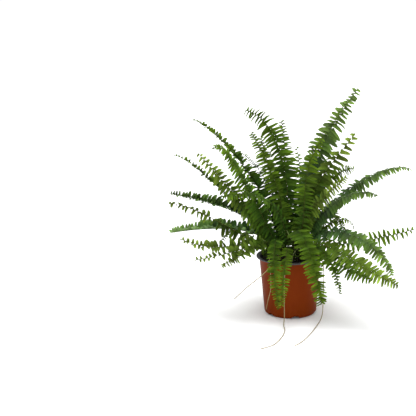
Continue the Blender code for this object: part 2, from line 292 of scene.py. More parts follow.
def raise_skin(tree, shader, height, strength, distance):
    """Lets a pattern stand up from the surface by up to a distance."""
    bump = node(tree, "ShaderNodeBump", {"Height": height, "Strength": strength, "Distance": distance})
    feed(tree, shader, {"Normal": bump.outputs["Normal"]})


def new_group(name, inputs):
    """A group that turns named inputs, each (kind, name, default), into colour, roughness and height."""
    group = bpy.data.node_groups.new(name, "ShaderNodeTree")
    for kind, label, value in inputs:
        socket = group.interface.new_socket(label, in_out="INPUT", socket_type="NodeSocket" + kind)
        socket.default_value = value
    for kind, label in (("Color", "Colour"), ("Float", "Roughness"), ("Float", "Height")):
        group.interface.new_socket(label, in_out="OUTPUT", socket_type="NodeSocket" + kind)
    return group, group.nodes.new("NodeGroupInput").outputs, group.nodes.new("NodeGroupOutput")


# Drawn sheet: fine upright streaks from the forming, soft mottling, and a fine grain
sheet_group, given, result = new_group(
    "drawn_sheet",
    [
        ("Color", "Colour", (0.3, 0.1, 0.05, 1.0)),
        ("Color", "Worn Colour", (0.4, 0.2, 0.1, 1.0)),
        ("Float", "Gloss Change", 0.1),
    ],
)
tree = sheet_group
place = object_place(tree)
stretched = node(tree, "ShaderNodeMapping", {"Vector": place, "Scale": (1.0, 1.0, 0.06)}).outputs["Vector"]
streaks = blotches(tree, stretched, 420.0, 3.0)
clouds = blotches(tree, place, 38.0, 4.0)
grain = blotches(tree, place, 1500.0)
worn = maths(tree, "MULTIPLY_ADD", clouds, 0.5, maths(tree, "MULTIPLY", streaks, 0.35))
worn = node(tree, "ShaderNodeClamp", {"Value": maths(tree, "SUBTRACT", worn, 0.22)}).outputs["Result"]
dull = maths(tree, "MULTIPLY", clouds, given["Gloss Change"])
dull = maths(tree, "MULTIPLY_ADD", streaks, 0.08, dull)
feed(
    tree,
    result,
    {
        "Colour": colour_mix(tree, worn, given["Colour"], given["Worn Colour"]),
        "Roughness": maths(tree, "ADD", dull, 0.34),
        "Height": maths(tree, "MULTIPLY_ADD", grain, 0.25, streaks),
    },
)


def skin_material(name, group, looks, level, strength, distance):
    """A material whose surface a group makes from its own colours and finish."""
    material, tree, shader = new_material(name)
    skin = node(tree, "ShaderNodeGroup", looks, node_tree=group).outputs
    feed(
        tree,
        shader,
        {"Base Color": skin["Colour"], "Roughness": skin["Roughness"], "Specular IOR Level": level},
    )
    raise_skin(tree, shader, skin["Height"], strength, distance)
    return material, tree, shader


brick_looks = {"Colour": (0.156, 0.0215, 0.0008), "Worn Colour": (0.172, 0.030, 0.0016), "Gloss Change": 0.18}
black_looks = {"Colour": (0.016, 0.017, 0.018), "Worn Colour": (0.045, 0.045, 0.048), "Gloss Change": 0.15}
for name, looks, level in (("brick_red_sheet", brick_looks, 0.04), ("black_sheet", black_looks, 0.5)):
    pot.data.materials.append(skin_material(name, sheet_group, looks, level, 0.12, 0.0004)[0])
for face in pot.data.polygons:
    middle = face.center
    on_lip = middle.z > pot_height - lip_depth
    inside = middle.xy.length < pot_wall(middle.z) - wall_thickness / 2 and middle.z > foot_recess + 0.0005
    face.material_index = 1 if on_lip or inside else 0
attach(pot, "root")
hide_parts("pot")

# ---------------------------------------------------------------------------------------------------
# Compost: dark damp peat cast to the pot, loose and crumbly on top, with bits of bark and old root
# pressed into it. Rings are inset from the edge to the middle and then broken up into crumbs.
# ---------------------------------------------------------------------------------------------------
soil_low, soil_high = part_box("soil")
soil_edge = soil_high.z - 0.0015
soil_gap = wall_thickness + 0.0004
soil_radius = pot_wall(soil_edge) - soil_gap
edge_bevel = 0.0008
crumb_depth = 0.0011
crumb_count = 420

deselect_all()
bpy.ops.mesh.primitive_circle_add(
    vertices=96, radius=soil_radius - 0.0110, fill_type="NGON", location=(0.0, 0.0, soil_low.z)
)
compost = bpy.context.object
compost.name = "compost"
bpy.ops.object.mode_set(mode="EDIT")
bpy.ops.mesh.select_mode(type="EDGE")
bpy.ops.mesh.select_all(action="SELECT")
bpy.ops.mesh.region_to_loop()
draw_out(
    [
        (soil_radius - 0.0110, soil_low.z),
        (pot_wall(0.012) - soil_gap, 0.010),
        (pot_wall(0.05) - soil_gap, 0.05),
        (soil_radius, soil_edge - edge_bevel),
        (soil_radius - edge_bevel, soil_edge),
    ]
)
bpy.ops.mesh.edge_face_add()
bpy.ops.mesh.select_mode(type="FACE")
for ring in range(22):
    bpy.ops.mesh.inset(thickness=(soil_radius - edge_bevel) / 23.0, use_even_offset=True)
bpy.ops.mesh.poke()
bpy.ops.mesh.select_all(action="SELECT")
bpy.ops.mesh.normals_make_consistent(inside=False)
bpy.ops.object.mode_set(mode="OBJECT")
for point in compost.data.vertices:
    reach = point.co.xy.length
    if point.co.z < soil_edge - 0.0001 or reach > soil_radius - 0.0012:
        continue
    dome = 0.0013 * (1 - (reach / soil_radius) ** 4)
    coarse = noise.noise(point.co * 160.0)
    fine = noise.noise(point.co * 520.0 + Vector((3.0, 1.0, 7.0)))
    point.co.z += dome + crumb_depth * (0.55 * coarse + 0.45 * fine) - 0.0004

deselect_all()
bpy.ops.mesh.primitive_ico_sphere_add(subdivisions=1, radius=1.0)
crumb = bpy.context.object
crumb_shape = [point.co.copy() for point in crumb.data.vertices]
crumb_faces = [tuple(face.vertices) for face in crumb.data.polygons]
bpy.data.objects.remove(crumb, do_unlink=True)

chance = np.random.default_rng(11)
loose = bmesh.new()
loose.from_mesh(compost.data)
for index in range(crumb_count):
    reach = (soil_radius - 0.003) * chance.random() ** 0.5
    azimuth = chance.uniform(0.0, 2 * pi)
    size = chance.uniform(0.0004, 0.0013)
    long = size * chance.uniform(1.0, 2.6)
    turned = Matrix.Rotation(chance.uniform(0, 2 * pi), 3, "Z")
    turned = turned @ Matrix.Rotation(chance.normal(0, 0.35), 3, "X")
    rest = Vector((reach * cos(azimuth), reach * sin(azimuth), soil_edge + 0.0008 + 0.3 * size))
    made = []
    for point in crumb_shape:
        knock = 1.0 + 0.25 * noise.noise(point * 1.7 + rest * 900.0)
        lump = Vector((point.x * long, point.y * size, point.z * size * 0.7))
        made.append(loose.verts.new(rest + turned @ lump * knock))
    for face in crumb_faces:
        loose.faces.new([made[corner] for corner in face])
loose.to_mesh(compost.data)
loose.free()
only(compost)
bpy.ops.object.transform_apply(location=True, rotation=True, scale=True)
bpy.ops.object.shade_smooth_by_angle(angle=radians(40))


def mottled_material(name, scale, detail, dark, light, dullness, level=0.5):
    """A rough natural skin: blotches take it from a dark to a light colour, each (blotch value, colour),
    and change its dullness, as (least, change)."""
    material, tree, shader = new_material(name)
    pattern = blotches(tree, object_place(tree), scale, detail)
    spread = node(tree, "ShaderNodeValToRGB", {"Fac": pattern})
    for stop, (value, colour) in zip(spread.color_ramp.elements, (dark, light)):
        stop.position = value
        stop.color = (*colour, 1.0)
    least, change = dullness
    rough = maths(tree, "MULTIPLY_ADD", pattern, change, least)
    feed(
        tree,
        shader,
        {"Base Color": spread.outputs["Color"], "Roughness": rough, "Specular IOR Level": level},
    )
    return material, tree, shader, pattern


peat, tree, shader, pattern = mottled_material(
    "damp_peat", 260.0, 6.0, (0.35, (0.0035, 0.0028, 0.0022)), (0.78, (0.030, 0.019, 0.011)), (0.65, 0.3),
    level=0.25,
)
lumps = node(tree, "ShaderNodeTexVoronoi", {"Vector": object_place(tree), "Scale": 520.0})
raise_skin(tree, shader, maths(tree, "ADD", pattern, lumps.outputs["Distance"]), 0.9, 0.0008)
compost.data.materials.append(peat)
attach(compost, "root")
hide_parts("soil")

# ---------------------------------------------------------------------------------------------------
# Rootstock: the short upright stem in the middle of the compost, clad in papery brown scales. It is
# a bevelled peg, and one pointed scale is shaped and set round it in a spiral.
# ---------------------------------------------------------------------------------------------------
crown_low, crown_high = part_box("crown")
crown_radius = (crown_high.x - crown_low.x) / 2
crown_tall = crown_high.z - crown_low.z
scale_count = 64
scale_length = 0.0034
golden_turn = 2.39996

deselect_all()
bpy.ops.mesh.primitive_cylinder_add(
    vertices=24,
    radius=crown_radius * 0.88,
    depth=crown_tall,
    location=(0.0, 0.0, crown_low.z + crown_tall / 2),
)
rootstock = bpy.context.object
rootstock.name = "rootstock"
bpy.ops.object.mode_set(mode="EDIT")
bpy.ops.mesh.select_mode(type="FACE")
bpy.ops.mesh.select_all(action="DESELECT")
cage = bmesh.from_edit_mesh(rootstock.data)
for face in cage.faces:
    face.select = face.normal.z > 0.9
bmesh.update_edit_mesh(rootstock.data)
for ring in range(3):
    bpy.ops.mesh.inset(thickness=crown_radius * 0.18)
bpy.ops.mesh.poke()
bpy.ops.mesh.select_all(action="SELECT")
bpy.ops.mesh.subdivide(number_cuts=2)
bpy.ops.object.mode_set(mode="OBJECT")
only(rootstock)
bpy.ops.object.transform_apply(location=True, rotation=True, scale=True)
for point in rootstock.data.vertices:
    share = (point.co.z - crown_low.z) / crown_tall
    narrow = 1.0 - 0.45 * share**2
    knock = 1.0 + 0.10 * noise.noise(point.co * 700.0)
    point.co.x *= narrow * knock
    point.co.y *= narrow * knock
    droop = 0.0012 * (point.co.xy.length / crown_radius) ** 2 * share
    point.co.z = min(point.co.z, crown_high.z - 0.0008) - droop

deselect_all()
bpy.ops.mesh.primitive_grid_add(x_subdivisions=2, y_subdivisions=5, size=1.0)
scale_leaf = bpy.context.object
for point in scale_leaf.data.vertices:
    along = point.co.y + 0.5
    width = 0.34 * (1 - along) ** 0.7 * (0.75 + 0.9 * along)
    cup = 0.10 * sin(pi * along) - 0.12 * (2 * point.co.x) ** 2 * width
    point.co = Vector((point.co.x * 2 * width, along, cup))
thick = scale_leaf.modifiers.new("wall", "SOLIDIFY")
thick.thickness = 0.05
only(scale_leaf)
bpy.ops.object.modifier_apply(modifier=thick.name)
scale_points = [point.co.copy() for point in scale_leaf.data.vertices]
scale_faces = [tuple(face.vertices) for face in scale_leaf.data.polygons]
bpy.data.objects.remove(scale_leaf, do_unlink=True)
clad = bmesh.new()
clad.from_mesh(rootstock.data)
for index in range(scale_count):
    azimuth = index * golden_turn
    rise = crown_tall * (0.02 + 0.80 * index / scale_count)
    out = crown_radius * (0.86 - 0.30 * (rise / crown_tall) ** 2)
    lean = Matrix.Rotation(azimuth, 3, "Z") @ Matrix.Rotation(radians(62 + 14 * chance.random()), 3, "Y")
    turned = lean @ Matrix.Rotation(radians(90), 3, "Z")
    size = scale_length * chance.uniform(0.8, 1.2)
    rest = Vector((out * cos(azimuth), out * sin(azimuth), crown_low.z + rise))
    made = []
    for point in scale_points:
        moved = rest + turned @ Vector((point.x * size, -point.y * size, point.z * size))
        moved.z = max(moved.z, crown_low.z)
        made.append(clad.verts.new(moved))
    for face in scale_faces:
        clad.faces.new([made[corner] for corner in face])
bmesh.ops.recalc_face_normals(clad, faces=clad.faces)
clad.to_mesh(rootstock.data)
clad.free()
only(rootstock)
bpy.ops.object.shade_smooth_by_angle(angle=radians(45))

chaff, tree, shader, pattern = mottled_material(
    "papery_scales", 600.0, 5.0, (0.3, (0.020, 0.010, 0.005)), (0.75, (0.140, 0.068, 0.026)), (0.6, 0.3)
)
raise_skin(tree, shader, pattern, 0.6, 0.0004)
rootstock.data.materials.append(chaff)
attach(rootstock, "root")
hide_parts("crown")

# ---------------------------------------------------------------------------------------------------
# Leaflet: one thin leathery leaflet of the sword fern, blunt at the tip, with an ear at its base on
# the side towards the frond's tip and a shallow fold along its midrib. It is shaped once from a
# strip of squares, 1 long, and every frond gets its own copies.
# ---------------------------------------------------------------------------------------------------
leaflet_steps = 8
upper_edge = (0.135, 0.200, 0.146, 0.128, 0.121, 0.113, 0.101, 0.078, 0.022)
lower_edge = (0.100, 0.134, 0.118, 0.113, 0.111, 0.105, 0.095, 0.074, 0.022)

deselect_all()
bpy.ops.mesh.primitive_grid_add(
    x_subdivisions=leaflet_steps, y_subdivisions=2, size=1.0, location=(0.5, 0.0, 0.0)
)
leaflet = bpy.context.object
leaflet.name = "leaflet"
bpy.ops.object.transform_apply(location=True, rotation=True, scale=True)
bpy.ops.object.mode_set(mode="EDIT")
bpy.ops.mesh.select_mode(type="VERT")
for step in range(leaflet_steps + 1):
    for side, edge in ((1, upper_edge), (-1, lower_edge)):
        bpy.ops.mesh.select_all(action="DESELECT")
        cage = bmesh.from_edit_mesh(leaflet.data)
        for point in cage.verts:
            here = abs(point.co.x - step / leaflet_steps) < 0.01
            point.select = here and point.co.y * side > 0.4
        cage.select_flush_mode()
        bmesh.update_edit_mesh(leaflet.data)
        bpy.ops.transform.translate(value=(0.0, side * (edge[step] - 0.5), 0.32 * edge[step]))
bpy.ops.object.mode_set(mode="OBJECT")
leaflet_wall = leaflet.modifiers.new("wall", "SOLIDIFY")
leaflet_wall.thickness = 0.014
leaflet_wall.offset = 0.0
only(leaflet)
bpy.ops.object.modifier_apply(modifier=leaflet_wall.name)
leaf_points = np.array([tuple(point.co) for point in leaflet.data.vertices])
leaf_faces = np.array([tuple(face.vertices) for face in leaflet.data.polygons])
uv_of_loops = np.array([tuple(loop.uv) for loop in leaflet.data.uv_layers.active.data])
leaf_uv = uv_of_loops.reshape(len(leaf_faces), 4, 2)
leaf_back = np.array([1.0 if point.normal.z < -0.2 else 0.0 for point in leaflet.data.vertices])
bpy.data.objects.remove(leaflet, do_unlink=True)


# Leaf skin: young colour at the tip of a frond and old colour by the crown, each leaflet a shade of its own,
# paler below, with a midrib and slanting veins, and a green or brown stalk. The old colour is the darker
# green of older growth deepened with painted shade of the plant's crowded middle, and the tone attribute
# darkens each leaflet towards the stalk as painted shade
leaf_group, given, result = new_group(
    "leaf_skin",
    [
        ("Color", "Old And Shaded Colour", (0.05, 0.1, 0.01, 1.0)),
        ("Color", "Young Colour", (0.1, 0.2, 0.02, 1.0)),
        ("Color", "Back Colour", (0.1, 0.2, 0.05, 1.0)),
        ("Color", "Stalk Colour", (0.1, 0.12, 0.03, 1.0)),
        ("Float", "Roughness", 0.45),
    ],
)
tree = leaf_group
tone, youth, stalk, below = (
    node(tree, "ShaderNodeAttribute", attribute_name=name).outputs["Fac"]
    for name in ("tone", "youth", "stalk", "below")
)
strip = node(tree, "ShaderNodeUVMap", uv_map="strip").outputs["UV"]
split = node(tree, "ShaderNodeSeparateXYZ", {"Vector": strip}).outputs
from_rib = maths(tree, "ABSOLUTE", maths(tree, "SUBTRACT", split["Y"], 0.5))
rib = node(
    tree,
    "ShaderNodeMapRange",
    {"Value": from_rib, "From Min": 0.075, "From Max": 0.015},
    interpolation_type="SMOOTHSTEP",
).outputs["Result"]
slant = maths(tree, "MULTIPLY_ADD", from_rib, -1.3, split["X"])
wave = maths(tree, "SINE", maths(tree, "MULTIPLY", slant, 105.0))
vein = maths(tree, "POWER", maths(tree, "MULTIPLY_ADD", wave, 0.5, 0.5), 3.0)
place = object_place(tree)
patch = blotches(tree, place, 230.0, 4.0)
region = blotches(tree, place, 34.0)
ripe = maths(tree, "MULTIPLY_ADD", patch, 0.5, maths(tree, "SUBTRACT", youth, 0.25))
ripe = maths(tree, "MULTIPLY_ADD", maths(tree, "SUBTRACT", region, 0.5), 0.7, ripe)
ripe = node(tree, "ShaderNodeClamp", {"Value": ripe}).outputs["Result"]
leaf_colour = colour_mix(tree, ripe, given["Old And Shaded Colour"], given["Young Colour"])
leaf_colour = colour_mix(tree, maths(tree, "MULTIPLY", below, 0.75), leaf_colour, given["Back Colour"])
vein_share = maths(tree, "MULTIPLY_ADD", rib, 0.35, maths(tree, "MULTIPLY", vein, 0.16))
leaf_colour = colour_mix(tree, vein_share, leaf_colour, given["Back Colour"])
stalk_colour = colour_mix(tree, youth, (0.030, 0.020, 0.008), given["Stalk Colour"])
all_colour = colour_mix(tree, stalk, leaf_colour, stalk_colour)
# The tone attribute holds each leaflet's random tone with painted shade towards the stalk
tone_and_shade_grey = node(tree, "ShaderNodeCombineColor", {"Red": tone, "Green": tone, "Blue": tone}).outputs["Color"]
dull = maths(tree, "MULTIPLY_ADD", patch, 0.25, given["Roughness"])
dull = maths(tree, "MULTIPLY_ADD", below, 0.15, dull)
raised = maths(tree, "MULTIPLY_ADD", vein, 0.35, maths(tree, "MULTIPLY", patch, 0.5))
feed(
    tree,
    result,
    {
        "Colour": colour_mix(tree, 1.0, all_colour, tone_and_shade_grey, "MULTIPLY"),
        "Roughness": maths(tree, "SUBTRACT", dull, 0.12),
        "Height": maths(tree, "SUBTRACT", raised, rib),
    },
)


def leaf_material(name, old_and_shaded, young, back, stalk_green, glow, roughness, level):
    """Leaf skin that lets some light through, which glows in a colour of its own."""
    looks = {"Old And Shaded Colour": old_and_shaded, "Young Colour": young, "Back Colour": back}
    looks |= {"Stalk Colour": stalk_green, "Roughness": roughness}
    material, tree, shader = skin_material(name, leaf_group, looks, level, 0.45, 0.0003)
    through = node(tree, "ShaderNodeBsdfTranslucent", {"Color": glow}).outputs["BSDF"]
    blend = node(tree, "ShaderNodeMixShader", {"Fac": 0.16, 1: shader.outputs["BSDF"], 2: through})
    feed(tree, tree.nodes["Material Output"], {"Surface": blend.outputs["Shader"]})
    return material


# Old colours: the darker green of older growth, deepened with painted shade of the plant's crowded middle
plain_green = leaf_material(
    "leaf_green", (0.0185, 0.0576, 0.0029), (0.0979, 0.1728, 0.0069), (0.0806, 0.1382, 0.0207),
    (0.0691, 0.0922, 0.0139), (0.1382, 0.2765, 0.0046), 0.55, 0.06,
)
# Paler, bluer green: partly the leaf's own colour and partly painted sheen, the white sky seen on upturned
# faces
blue_green_with_sheen = leaf_material(
    "leaf_blue_green_with_sheen", (0.0207, 0.0634, 0.0092), (0.1094, 0.1901, 0.0207), (0.0922, 0.1555, 0.0461),
    (0.0634, 0.0922, 0.0254), (0.1037, 0.2304, 0.0173), 0.50, 0.18,
)
yellow_green = leaf_material(
    "leaf_yellow_green", (0.0322, 0.0715, 0.0034), (0.1670, 0.2362, 0.0300), (0.1267, 0.1843, 0.0288),
    (0.1037, 0.1152, 0.0161), (0.2074, 0.3226, 0.0046), 0.55, 0.06,
)

# ---------------------------------------------------------------------------------------------------
# Upright fronds: the newest ones, which stand nearly straight from the middle of the rootstock and
# show their faces. Each is a ribbed stalk with leaflets in two ranks, dense below and small at the
# tip, and follows the line of its solid from crown to tip.
# ---------------------------------------------------------------------------------------------------
stalk_foot = Vector((0.0, 0.0, crown_low.z))
stalk_width = 0.0026
leaf_to_pot = 0.0007
leaf_to_inside = 0.0012
reach_over = 0.0040


def sections_of(name, sides):
    """The rings of a carried-over stem or frond from its foot to its tip, as lists of points."""
    shell = bmesh.new()
    shell.from_mesh(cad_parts[name].data)
    bmesh.ops.remove_doubles(shell, verts=shell.verts, dist=0.00002)
    shell.verts.index_update()
    start = min(shell.verts, key=lambda point: (point.co - stalk_foot).length)
    ring = sorted(shell.verts, key=lambda point: (point.co - start.co).length)[:sides]
    seen, found = set(), []
    while ring:
        found.append(np.array([tuple(point.co) for point in ring]))
        seen.update(ring)
        after = {edge.other_vert(point) for point in ring for edge in point.link_edges} - seen
        ring = sorted(after, key=lambda point: point.index)
    shell.free()
    return found


def unit(vectors):
    return vectors / np.maximum(np.linalg.norm(vectors, axis=-1, keepdims=True), 1e-12)


class Line:
    """A smooth line through points, asked for by its length from the foot."""

    def __init__(self, points, across=None):
        self.points = points
        steps = np.linalg.norm(np.diff(points, axis=0), axis=1)
        self.places = np.concatenate([[0.0], np.cumsum(steps)])
        self.length = self.places[-1]
        chords = np.diff(points, axis=0) / steps[:, None]
        inner = chords[:-1] * steps[1:, None] + chords[1:] * steps[:-1, None]
        inner /= (steps[1:] + steps[:-1])[:, None]
        first = 1.5 * chords[0] - 0.5 * inner[0]
        last = 1.5 * chords[-1] - 0.5 * inner[-1]
        self.slopes = np.vstack([first, inner, last])
        self.across = across

    def at(self, place):
        place = np.clip(np.atleast_1d(np.asarray(place, float)), 0.0, self.length)
        i = np.clip(np.searchsorted(self.places, place, "right") - 1, 0, len(self.points) - 2)
        h = (self.places[i + 1] - self.places[i])[:, None]
        t = (place - self.places[i])[:, None] / h
        p, q, m, n = self.points[i], self.points[i + 1], self.slopes[i], self.slopes[i + 1]
        where = (2 * t**3 - 3 * t**2 + 1) * p + (t**3 - 2 * t**2 + t) * h * m
        where += (3 * t**2 - 2 * t**3) * q + (t**3 - t**2) * h * n
        going = 6 * (t**2 - t) * (p - q) / h + (3 * t**2 - 4 * t + 1) * m + (3 * t**2 - 2 * t) * n
        going = unit(going)
        if self.across is None:
            return where, going
        side = np.stack([np.interp(place, self.places, self.across[:, axis]) for axis in range(3)], 1)
        side = unit(side - (side * going).sum(1, keepdims=True) * going)
        return where, going, side, np.cross(going, side)


def middles(rings):
    return np.array([ring.mean(0) for ring in rings])


def frond_line(name):
    """The line of a frond, with the direction across its blade; the face looks up or to the front."""
    rings = sections_of(name, 4)
    centres = middles(rings)
    across = np.zeros_like(centres)
    wide = []
    for index, ring in enumerate(rings[:-1]):
        gaps = np.linalg.norm(ring[:, None] - ring[None], axis=2)
        one, other = np.unravel_index(gaps.argmax(), gaps.shape)
        if gaps.max() > stalk_width:
            across[index] = (ring[one] - ring[other]) / gaps.max()
            wide.append(index)
    for before, index in zip(wide, wide[1:]):
        if across[index] @ across[before] < 0:
            across[index] *= -1
    going = unit(np.gradient(centres, axis=0))
    facing = sum(np.cross(going[index], across[index]) @ np.array([0.0, -0.35, 0.94]) for index in wide)
    if facing < 0:
        across *= -1
    for index in range(len(rings)):
        nearest = min(wide, key=lambda other: abs(other - index))
        across[index] = across[nearest]
    return Line(centres, across)


def stem_tube(points, radii, sides):
    """A closed round tube along points, made from a bevelled curve; returns its points and faces."""
    curve = bpy.data.curves.new("stem", "CURVE")
    curve.dimensions = "3D"
    curve.bevel_depth = 1.0
    curve.bevel_resolution = sides // 2 - 2
    curve.use_fill_caps = True
    curve.twist_mode = "MINIMUM"
    spline = curve.splines.new("POLY")
    spline.points.add(len(points) - 1)
    for slot, point, radius in zip(spline.points, points, radii):
        slot.co = (*point, 1.0)
        slot.radius = radius
    holder = bpy.data.objects.new("stem", curve)
    scene.collection.objects.link(holder)
    only(holder)
    bpy.ops.object.convert(target="MESH")
    holder = bpy.context.object
    made = bmesh.new()
    made.from_mesh(holder.data)
    bmesh.ops.remove_doubles(made, verts=made.verts, dist=0.000001)
    bmesh.ops.recalc_face_normals(made, faces=made.faces)
    made.verts.index_update()
    corners = np.array([tuple(point.co) for point in made.verts])
    faces = [[point.index for point in face.verts] for face in made.faces]
    made.free()
    bpy.data.objects.remove(holder, do_unlink=True)
    return corners, faces


def keep_clear(points, origin):
    """Leaves that meet the pot, the compost or the table lie against it instead of going in."""
    reach = np.hypot(points[:, 0], points[:, 1])
    wall = rim_radius - lip_width - wall_taper * (1 - points[:, 2] / pot_height)
    low = points[:, 2] < pot_height + 0.0006
    outside = np.hypot(origin[0], origin[1]) > rim_radius - lip_width
    if outside:
        target = np.where(points[:, 2] > pot_height - lip_drop - 0.001, rim_radius, wall) + leaf_to_pot
        hit = low & (reach < target)
    else:
        target = wall - wall_thickness - leaf_to_inside
        hit = low & (reach > target) & (points[:, 2] > 0)
        over = hit & (reach > target + reach_over)
        points[over, 2] = np.maximum(points[over, 2], pot_height + 0.0008)
        hit = hit & ~over
    share = np.where(hit, target / np.maximum(reach, 1e-6), 1.0)
    points[:, 0] *= share
    points[:, 1] *= share
    if not outside:
        points[:, 2] = np.maximum(points[:, 2], soil_high.z + 0.0012)
    points[:, 2] = np.maximum(points[:, 2], 0.0006)
    return points


def leaflet_share(place):
    """Length of a leaflet at 0..1 along the leafy part, as a share of the longest."""
    rise = 0.52 + 0.48 * min(1.0, place / 0.28) ** 0.8
    fall = 1.0 - max(0.0, (place - 0.45) / 0.55) ** 2.0 * 0.68
    return rise * fall


def planted(name, corners, faces, material):
    """A smooth piece made from its corners and faces."""
    mesh = bpy.data.meshes.new(name)
    mesh.from_pydata(corners.tolist(), [], faces)
    mesh.shade_smooth()
    mesh.materials.append(material)
    piece = bpy.data.objects.new(name, mesh)
    scene.collection.objects.link(piece)
    return piece


stalk_radius = 0.00105
stalk_taper = 0.72
shortest_leaflet = 0.0030
bare_tip = 0.0012
above_stalk = 0.0002
darkest = 0.35


def grow_frond(
    name, material, longest, gap=0.0074, bare=0.10, roll=0.0, lift=0.0, droop=4.0, forward=4.0,
    hang=0.0, curl=0.14, sickle=0.0, broad=0.95, lost=0.02, tone=1.0, young=(0.0, 1.0), seed=1,
    jitter=1.0, tip_gap=0.70, sag=0.08, fade=0.0, tilt=26.0, lean=0.0, blunt=0.0,
):
    """One frond: its stalk, and a copy of the leaflet at each place along both sides. Angles are in
    degrees: roll and lift turn the blade about the stalk, droop and hang lower the leaflets, forward
    and lean sweep them to the tip, and tilt turns each about its own rib."""
    line = frond_line("frond_" + name)
    chance = np.random.default_rng(seed)
    places = np.linspace(0.0, line.length, 34)
    centres = line.at(places)[0]
    corners, faces = stem_tube(centres, stalk_radius * (1.0 - stalk_taper * (places / line.length) ** 0.8), 6)
    nearest = np.array([np.argmin(((centres - corner) ** 2).sum(1)) for corner in corners])
    along = places[nearest] / line.length
    all_points, all_faces = [corners], list(faces)
    all_uv = [[(0.0, 0.0)] * len(face) for face in faces]
    tones_and_shade, youths = [np.full(len(corners), tone)], [np.clip(along * 1.1, 0.0, 1.0)]
    stalks, belows = [np.ones(len(corners))], [np.zeros(len(corners))]
    count = len(corners)
    place = first = line.length * bare
    side = 1 if seed % 2 else -1
    drift = chance.normal(0.0, 1.0, 8)
    while place < line.length - bare_tip:
        share = (place - first) / (line.length - first)
        size = longest * leaflet_share(share * (1 - blunt)) * (1 - fade * min(1.0, share * 1.4))
        size = max(size * (1 + 0.07 * jitter * chance.normal()), shortest_leaflet)
        where, going, across, face = (value[0] for value in line.at(place))
        wander = sum(drift[k] * sin((k + 1.3) * 3.0 * share + k) for k in range(4)) * 3.0
        turn = radians(roll + wander + lift * share)
        out_across = across * cos(turn) + face * sin(turn)
        out_face = face * cos(turn) - across * sin(turn)
        sweep = forward + side * lean + 26 * max(0.0, share - 0.55) ** 1.2 * 2 - 10 * (1 - share) ** 3
        sweep = radians(sweep + 5 * jitter * chance.normal())
        lower = radians(droop + 6 * jitter * chance.normal())
        x_axis = cos(sweep) * side * out_across + sin(sweep) * going
        x_axis = cos(lower) * x_axis - sin(lower) * out_face
        x_axis = unit(x_axis + np.array([0.0, 0.0, -hang]) * (0.6 + 0.4 * chance.random()))
        y_axis = unit(going - (going @ x_axis) * x_axis)
        z_axis = np.cross(x_axis, y_axis)
        flip = z_axis @ out_face < 0
        if flip:
            z_axis = -z_axis
        twist = radians(tilt + 13.0 * jitter * chance.normal())
        y_turned = y_axis * cos(twist) - z_axis * sin(twist)
        z_turned = z_axis * cos(twist) + y_axis * sin(twist)
        slim = min(3.0, broad * (longest / size) ** 0.5) * (1 + 0.06 * chance.normal())
        bend = curl * (1 + 0.5 * chance.normal())
        out = leaf_points[:, 0]
        ripple = 0.03 * np.sin(7.0 * out + chance.uniform(0, 6)) * out
        local_y = leaf_points[:, 1] * slim + sickle * out**2
        local_z = leaf_points[:, 2] * slim - bend * out**2 - ripple
        if chance.random() > lost:
            moved = where + out_face * above_stalk + size * (
                out[:, None] * x_axis + local_y[:, None] * y_turned + local_z[:, None] * z_turned
            )
            moved[:, 2] -= sag * size * out**2
            all_points.append(keep_clear(moved, where))
            order = leaf_faces[:, ::-1] if flip else leaf_faces
            all_faces += (order + count).tolist()
            all_uv += (leaf_uv[:, ::-1] if flip else leaf_uv).tolist()
            shade = tone * (1 + 0.26 * chance.normal())
            # Painted shade: each leaflet is darkened and turned older in colour towards its base by the
            # stalk, where leaflets crowd, and lightened towards its tip; its random tone is its own
            tones_and_shade.append(max(darkest, shade) * (0.66 + 0.50 * out))
            # Colour runs from old by the crown to young at the tip; the old end is partly painted shade of
            # the middle
            age = young[0] + (young[1] - young[0]) * share**1.4 + 0.08 * chance.normal()
            youths.append(age + 0.30 * out - 0.12)
            stalks.append(np.zeros(len(moved)))
            belows.append(leaf_back)
            count += len(moved)
        crowd = 1.0 - (1.0 - tip_gap) * share**2.2
        place += gap * crowd * 0.5 * (1 + 0.10 * jitter * chance.normal())
        side = -side
    frond = planted("leafy_" + name, np.vstack(all_points), all_faces, material)
    mesh = frond.data
    layer = mesh.uv_layers.new(name="strip")
    layer.data.foreach_set("uv", np.array([corner for face in all_uv for corner in face], float).ravel())
    for key, values in (("tone", tones_and_shade), ("youth", youths), ("stalk", stalks), ("below", belows)):
        mesh.attributes.new(key, "FLOAT", "POINT").data.foreach_set("value", np.concatenate(values))
    mesh.set_sharp_from_angle(angle=radians(50))
    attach(frond, "root")
    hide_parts("frond_" + name)
grow_frond(
    "right_tall", blue_green_with_sheen, 0.0240, seed=3, young=(-0.3, 1.5), tip_gap=0.95, lost=0.03, broad=1.5,
    tone=1.15, forward=-4.0, jitter=1.5, sag=0.10, curl=0.15, tilt=16.0,
)
grow_frond(
    "right_gold", yellow_green, 0.0250, gap=0.0086, seed=4, young=(-0.2, 0.8), tip_gap=1.3, broad=1.35,
    lost=0.04, forward=-4.0, sag=0.12, lean=-24.0,
)
grow_frond(
    "front_upright", plain_green, 0.0175, gap=0.0062, seed=5, young=(-0.1, 1.5), jitter=1.6, broad=0.9,
    tilt=32.0, sag=0.14,
)
grow_frond(
    "top_left", plain_green, 0.0255, gap=0.0076, seed=6, young=(-0.1, 1.0), forward=-2.0, sickle=-0.03,
    sag=0.12, broad=1.1, lift=-30.0,
)
grow_frond("top_back", plain_green, 0.0185, gap=0.0068, seed=7, young=(-0.1, 0.9))
grow_frond(
    "back_small", plain_green, 0.0125, gap=0.0070, seed=8, young=(0.3, 1.2), lost=0.04, broad=1.6,
    tip_gap=1.0, tone=1.2,
)
grow_frond(
    "left_small", plain_green, 0.0190, gap=0.0072, seed=9, young=(0.3, 1.3), lost=0.04, broad=1.35,
    tilt=24.0,
)
grow_frond(
    "left_back_small", plain_green, 0.0180, seed=10, young=(0.1, 1.2), lost=0.04, broad=1.3, tilt=24.0,
)

